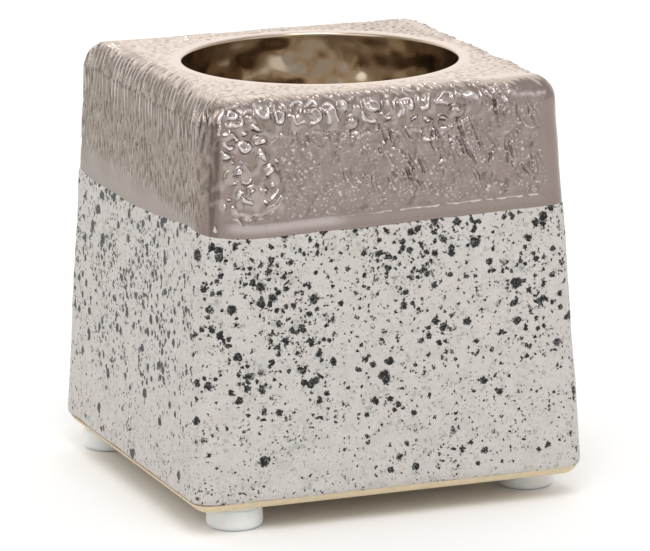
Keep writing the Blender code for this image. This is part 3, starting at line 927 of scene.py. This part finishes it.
def white_rows(w, side):
    """Points of one side of the white coat, from its lower edge to its upper edge."""
    line = glaze_line(heading(w) + side * math.pi / 2)
    foot_turn = np.arcsin(shared(BARE_STRIPS, side, w, 0.8) / BOTTOM_EDGE - 1)
    arc_centre = CLAY_BASE + BOTTOM_EDGE
    wall_low = arc_centre + BOTTOM_EDGE * math.sin(DRAFT)
    centre_half = wall_half(arc_centre, 0) - BOTTOM_EDGE / math.cos(DRAFT)
    turns = [(foot_turn + extra, depth) for depth, extra in TUCK]
    turns += [(foot_turn + (DRAFT - foot_turn) * i / FOOT_ROWS, 0) for i in range(FOOT_ROWS)]
    rows = []
    for angle, depth in turns:
        bend = (BOTTOM_EDGE - depth) * np.cos(angle)
        corner = np.maximum(CORNER - BOTTOM_EDGE * math.cos(DRAFT) + bend, LEAST_CORNER)
        z = arc_centre + (BOTTOM_EDGE - depth) * np.sin(angle)
        rows.append((*outline(w, centre_half + bend, corner), z))
    wall_rows = WHITE_ROWS - len(rows) - HEAD_ROWS
    for i in range(wall_rows):
        z = wall_low + (line - HEAD_START - wall_low) * i / wall_rows
        rows.append((*outline(w, wall_half(z, 0), CORNER), z))
    for i in range(HEAD_ROWS):
        z = line - HEAD_START + HEAD_RISE * i / (HEAD_ROWS - 1)
        depth = HEAD_DEPTH * (1 - math.cos(math.pi / 2 * min(1, i / 3)))
        rows.append((*outline(w, wall_half(z, depth), CORNER - depth), z))
    return np.array([np.stack(row, axis=-1) for row in rows])


per_side = WHITE_COLUMNS // 4
w = -1 + 2 * np.arange(per_side) / per_side
quarters = []
for side in range(4):
    turn = np.array(Matrix.Rotation(side * math.pi / 2, 3, "Z"))
    quarters.append(white_rows(w, side) @ turn.T)
points = np.concatenate(quarters + [quarters[0][:, :1]], axis=1)
round_s = np.linspace(0, AROUND, WHITE_COLUMNS + 1)[None, :] + 0 * points[..., 2]
slow = ripples(round_s, points[..., 2], 15.0, 21, 0.4, around=AROUND)
small = ripples(round_s, points[..., 2], 3.2, 22, 0.4, around=AROUND)
points = points + surface_normals(points) * (0.045 * slow + 0.008 * small)[..., None]
bm = bmesh.new()
bmesh.ops.create_grid(bm, x_segments=WHITE_COLUMNS, y_segments=len(points) - 1, size=0.5)
for vert in bm.verts:
    column = round((vert.co.x + 0.5) * WHITE_COLUMNS)
    row = round((vert.co.y + 0.5) * (len(points) - 1))
    vert.co = points[row, column] * MM
bmesh.ops.remove_doubles(bm, verts=bm.verts, dist=1e-6)
white_coat = object_from(bm, "white_coat")
white_coat.data.shade_smooth()
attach(white_coat, "root")
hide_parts("speckled_glaze")
print("white_coat", len(white_coat.data.polygons) * 2, "triangles")

# %% [markdown]
# ## The speckled white glaze
#
# Grit rich in iron was stirred into a white satin glaze, and melted into rounded chips with soft edges.
# They are from dust to more than 2 mm, lie in loose clusters and thin out near the foot. Each cell of a
# Voronoi pattern has one point, so a random pick of points, each with its own reach, gives such chips.
# Two noises bend them, and they are laid at four sizes, with faint ones at two more deeper in the glaze.
# The satin surface gives wide, faint highlights.

# %% Speckled glaze
satin = {"Roughness": 0.46, "Specular IOR Level": 0.3}
white, tree, shader = new_material("speckled white stoneware glaze", satin)
place = add(tree, "TexCoord").outputs["Object"]
bent = place
for size, detail, rough, bend in ((0.9, 4.0, 0.65, 1.0), (0.34, 1.0, 0.6, 0.6)):
    noise = add(tree, "TexNoise", {"Vector": place, "Scale": 1 / (size * MM), "Detail": detail,
                                   "Roughness": rough})
    away = add(tree, "VectorMath", {0: noise.outputs["Color"], 1: (0.5, 0.5, 0.5)}, operation="SUBTRACT")
    away = add(tree, "VectorMath", {0: away, "Scale": bend * MM}, operation="SCALE")
    bent = add(tree, "VectorMath", {0: bent, 1: away}, operation="ADD")
high_up = add(tree, "SeparateXYZ", {0: place}).outputs["Z"]
upper = add(tree, "MapRange", {"Value": high_up, "From Min": 9 * MM, "From Max": 36 * MM,
                               "To Min": 0.13, "To Max": 1.1}, interpolation_type="SMOOTHSTEP")
cluster = add(tree, "TexNoise", {"Vector": place, "Scale": 1 / (6 * MM), "Detail": 2.0, "Roughness": 0.55})
cluster = add(tree, "MapRange", {"Value": cluster, "From Min": 0.42, "From Max": 0.66, "To Min": 0.62,
                                 "To Max": 1.8})
crowded = add(tree, "Math", {0: upper, 1: cluster}, operation="MULTIPLY")
spread_out = add(tree, "Math", {0: cluster, 1: 0.75}, operation="MULTIPLY")


def chips(cell, share, seed, crowd):
    """1 within chips, with soft edges. At most one lies in each cell of this size in mm, and `share`
    is how many cells have one."""
    moved = add(tree, "VectorMath", {0: bent, 1: (seed * MM, 0, 0)}, operation="ADD")
    cells = add(tree, "TexVoronoi", {"Vector": moved, "Scale": 1 / (cell * MM)})
    pick, size, _ = add(tree, "SeparateColor", {0: cells.outputs["Color"]}).outputs
    limit = add(tree, "Math", {0: crowd, 1: share}, operation="MULTIPLY")
    picked = add(tree, "Math", {0: pick, 1: limit}, operation="LESS_THAN")
    reach = add(tree, "Math", {0: size, 1: 0.3, 2: 0.32}, operation="MULTIPLY_ADD")
    depth = add(tree, "Math", {0: reach, 1: cells.outputs["Distance"]}, operation="SUBTRACT")
    inside = add(tree, "MapRange", {"Value": depth, "From Min": -0.03, "From Max": 0.07})
    return add(tree, "Math", {0: picked, 1: inside}, operation="MULTIPLY")


dark = chips(0.45, 0.14, 11, spread_out)
for cell, share, seed in ((0.8, 0.17, 23), (1.4, 0.21, 41), (2.4, 0.09, 83)):
    more = chips(cell, share, seed, crowded)
    dark = add(tree, "Math", {0: dark, 1: more}, operation="MAXIMUM")
crystal = add(tree, "TexNoise", {"Vector": place, "Scale": 1 / (0.34 * MM), "Detail": 2.0, "Roughness": 0.7})
crystal = add(tree, "MapRange", {"Value": crystal, "From Min": 0.52, "From Max": 0.66})
speck = add(tree, "Mix", {"Factor": crystal, "A": colour("#0E0B0C"), "B": colour("#686C6A")},
            data_type="RGBA")

# %% The ground of the speckled glaze
# Each cloud's size in mm, detail, roughness, where its noise starts and is full, its strength and tone
CLOUDS = [(place, 2.4, 4.0, 0.6, 0.45, 0.75, 0.5, "#A9A79F"),
          (place, 0.32, 3.0, 0.7, 0.46, 0.74, 0.5, "#98928C"),
          (bent, 1.5, 3.0, 0.7, 0.6, 0.78, 0.55, "#8C948E")]
clouds = []
for where, size, detail, rough, start, full, strength, tone in CLOUDS:
    noise = add(tree, "TexNoise", {"Vector": where, "Scale": 1 / (size * MM), "Detail": detail,
                                   "Roughness": rough})
    mask = add(tree, "MapRange", {"Value": noise, "From Min": start, "From Max": full, "To Max": strength})
    clouds.append((mask, tone))
faint = []
for cell, share, seed, strength, tone in ((0.36, 0.2, 53, 0.6, "#77726E"), (0.9, 0.12, 61, 0.5, "#84908B")):
    mask = chips(cell, share, seed, spread_out)
    faint.append((add(tree, "Math", {0: mask, 1: strength}, operation="MULTIPLY"), tone))
slow_tone = add(tree, "TexNoise", {"Vector": place, "Scale": 1 / (11 * MM), "Detail": 2.0})
skin = add(tree, "Mix", {"Factor": slow_tone, "A": colour("#C5BFBD"), "B": colour("#C2BEB8")},
           data_type="RGBA")
# The smudges, last of the clouds, lie over the faint chips
for mask, tone in clouds[:2] + faint + clouds[2:]:
    skin = add(tree, "Mix", {"Factor": mask, "A": skin, "B": colour(tone)}, data_type="RGBA")
skin = add(tree, "Mix", {"Factor": dark, "A": skin, "B": speck}, data_type="RGBA")
tree.links.new(skin.outputs["Result"], shader.inputs["Base Color"])
white_coat.data.materials.append(white)

# %% [markdown]
# ## The well
#
# The lining is the same metal, but smooth as a mirror, with the slow waves of a poured glaze. It ran down
# in pools that are thickest on the far side. Its profile is drawn once, from the middle of the floor to
# the lip, `spin` turns it, and then its points move in by the thickness of the pools.

# %% Spun shapes


def arc(centre, radius, start, stop, steps):
    turns = [start + (stop - start) * step / steps for step in range(steps + 1)]
    return [(centre[0] + radius * math.cos(turn), centre[1] + radius * math.sin(turn)) for turn in turns]


def spun(profile, steps, dist):
    """The profile, given in mm, turned once round and merged where it meets itself."""
    bm = bmesh.new()
    verts = [bm.verts.new((radius * MM, 0, z * MM)) for radius, z in profile]
    edges = [bm.edges.new(pair) for pair in zip(verts, verts[1:])]
    bmesh.ops.spin(bm, geom=verts + edges, cent=(0, 0, 0), axis=(0, 0, 1), angle=2 * math.pi, steps=steps,
                   use_merge=True)
    bmesh.ops.remove_doubles(bm, verts=bm.verts, dist=dist)
    return bm


def placed(bm, name, centre):
    """The spun shape as an object with its middle at this place in mm, and its faces outwards."""
    bmesh.ops.translate(bm, verts=bm.verts, vec=(centre[0] * MM, centre[1] * MM, 0))
    bmesh.ops.recalc_face_normals(bm, faces=bm.faces)
    made = object_from(bm, name)
    made.data.shade_smooth()
    return made


# %% Well lining
FLOOR_EDGE = 2.0
FLOOR_STEPS = 14
WALL_STEPS = 40
# The heading that the pattern of waves starts from, and the middle and half width of the far side
SWING = math.radians(-10)
FAR_SIDE = math.radians(54)
FAR_HALF = math.radians(27)
POOLS_START = 68.8

rim_height = TOP - LIP
floor_radius = WELL_RADIUS - (rim_height - WELL_FLOOR) * math.tan(WELL_DRAFT) - FLOOR_EDGE
profile = [(floor_radius * step / FLOOR_STEPS, WELL_FLOOR) for step in range(FLOOR_STEPS)]
profile += arc((floor_radius, WELL_FLOOR + FLOOR_EDGE), FLOOR_EDGE, -math.pi / 2, 0, 10)
low = profile[-1]
for step in range(1, WALL_STEPS):
    part = step / WALL_STEPS
    profile.append((low[0] + (WELL_RADIUS - low[0]) * part, low[1] + (rim_height - low[1]) * part))
profile += arc((WELL_RADIUS + LIP, rim_height - 0.04), LIP, math.pi, math.pi / 2, 12)
bm = spun(profile, 300, 1e-6)
places = np.array([vert.co for vert in bm.verts]) / MM
z = places[:, 2]
turn = np.arctan2(places[:, 1], places[:, 0])
s = (turn - SWING) * WELL_RADIUS
around = 2 * math.pi * WELL_RADIUS
waves = ripples(s, z, 13.0, 31, 0.5, around=around)
pools = ripples((turn - 2 * SWING) * WELL_RADIUS, 0 * z, 22.0, 33, 0.6, around=around)
spots = ripples(s, z, 5.5, 34, 0.5, around=around)
start = POOLS_START + 0.8 * pools + 0.3 * spots
pools = (0.5 + 0.55 * hump(turn, FAR_SIDE, FAR_HALF)) * smooth(z, start, start - 7.5) * (0.9 + 0.2 * pools)
waves = (0.08 * waves + 0.018 * spots) * (1 - smooth(z, 69.0, 71.5)) + pools
waves = waves * smooth(z, WELL_FLOOR, WELL_FLOOR + 6)
for vert, wave in zip(bm.verts, waves):
    out = Vector((vert.co.x, vert.co.y, 0))
    if out.length:
        vert.co -= out.normalized() * wave * MM
well = placed(bm, "well_lining", (WELL_OFFSET, 0))
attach(well, "root")
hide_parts("well_glaze")
mirror = {"Base Color": colour("#B5A591"), "Metallic": 1.0, "Roughness": 0.16}
bronze, _, _ = new_material("mirror bronze glaze", mirror)
well.data.materials.append(bronze)
print("well_lining", len(well.data.polygons), "faces")

# %% [markdown]
# ## Bare clay
#
# The clay shows only in a strip round the foot, where the glaze was wiped off so that the block would not
# stick to the kiln shelf. Underneath it is bare all over.

# %% Clay
# Fine grog in unglazed clay gives a matt face with a faint change of tone
clay, tree, shader = new_material("unglazed tan stoneware", {"Roughness": 0.85})
place = add(tree, "TexCoord").outputs["Object"]
grog = add(tree, "TexNoise", {"Vector": place, "Scale": 1 / (0.8 * MM), "Detail": 3.0})
body = add(tree, "Mix", {"Factor": grog, "A": colour("#CDB896"), "B": colour("#DECFB3")},
           data_type="RGBA")
tree.links.new(body.outputs["Result"], shader.inputs["Base Color"])
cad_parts["clay_body"].data.materials.clear()
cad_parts["clay_body"].data.materials.append(clay)

# %% [markdown]
# ## Bumper feet
#
# Four clear self-adhesive bumpers. They are cast in soft resin on a backing film. The side draws in a
# little towards the film, and the standing end is slightly rounded at its edge. The film is a disc of
# nearly the same width, and in the photograph the two read as one milky piece.

# %% Feet and films
FOOT_RADIUS = 4.75
FOOT_TOP = 3.5
FOOT_EDGE = 1.0
BACK_EDGE = 0.15
FILM_RADIUS = 4.5
FILM_GAP = 0.02
FEET = {"front_left": (-25.6, -27.4), "front_right": (28.9, -22.6), "back_left": (-28.2, 28.6),
        "back_right": (26.8, 27.0)}


def bumper_piece(name, profile, centre, material):
    made = placed(spun(profile, 96, 1e-7), name, centre)
    made.data.set_sharp_from_angle(angle=math.radians(50))
    made.data.materials.append(material)
    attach(made, "root")
    return made


# Light goes a little way into cast silicone and comes out again, which makes it look milky
milky = {"Base Color": colour("#E3E5E6"), "Roughness": 0.4, "Subsurface Weight": 0.5,
         "Subsurface Scale": 2 * MM}
silicone, _, _ = new_material("milky silicone", milky)
film, _, _ = new_material("clear adhesive film", {"Base Color": colour("#E4E2DF"), "Roughness": 0.5})
back_height = FOOT_TOP - BACK_EDGE
foot_profile = [(0, 0)] + arc((FOOT_RADIUS - FOOT_EDGE, FOOT_EDGE), FOOT_EDGE, -math.pi / 2, 0, 14)
foot_profile += [(FOOT_RADIUS - 0.02, 2.3), (FOOT_RADIUS - 0.07, 2.8), (FOOT_RADIUS - 0.15, back_height)]
foot_profile += arc((FOOT_RADIUS - 0.3, back_height), BACK_EDGE, 0, math.pi / 2, 4) + [(0, FOOT_TOP)]
film_low, film_high = FOOT_TOP + FILM_GAP, CLAY_BASE - FILM_GAP
film_profile = [(0, film_low), (FILM_RADIUS, film_low), (FILM_RADIUS, film_high), (0, film_high)]
for corner, centre in FEET.items():
    foot = bumper_piece(f"bumper_{corner}", foot_profile, centre, silicone)
    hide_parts(f"foot_{corner}")
    disc = bumper_piece(f"backing_{corner}", film_profile, centre, film)
    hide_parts(f"film_{corner}")
print("Four feet stand at", list(FEET.values()))

# %% The bounds of what is drawn
low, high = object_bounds()
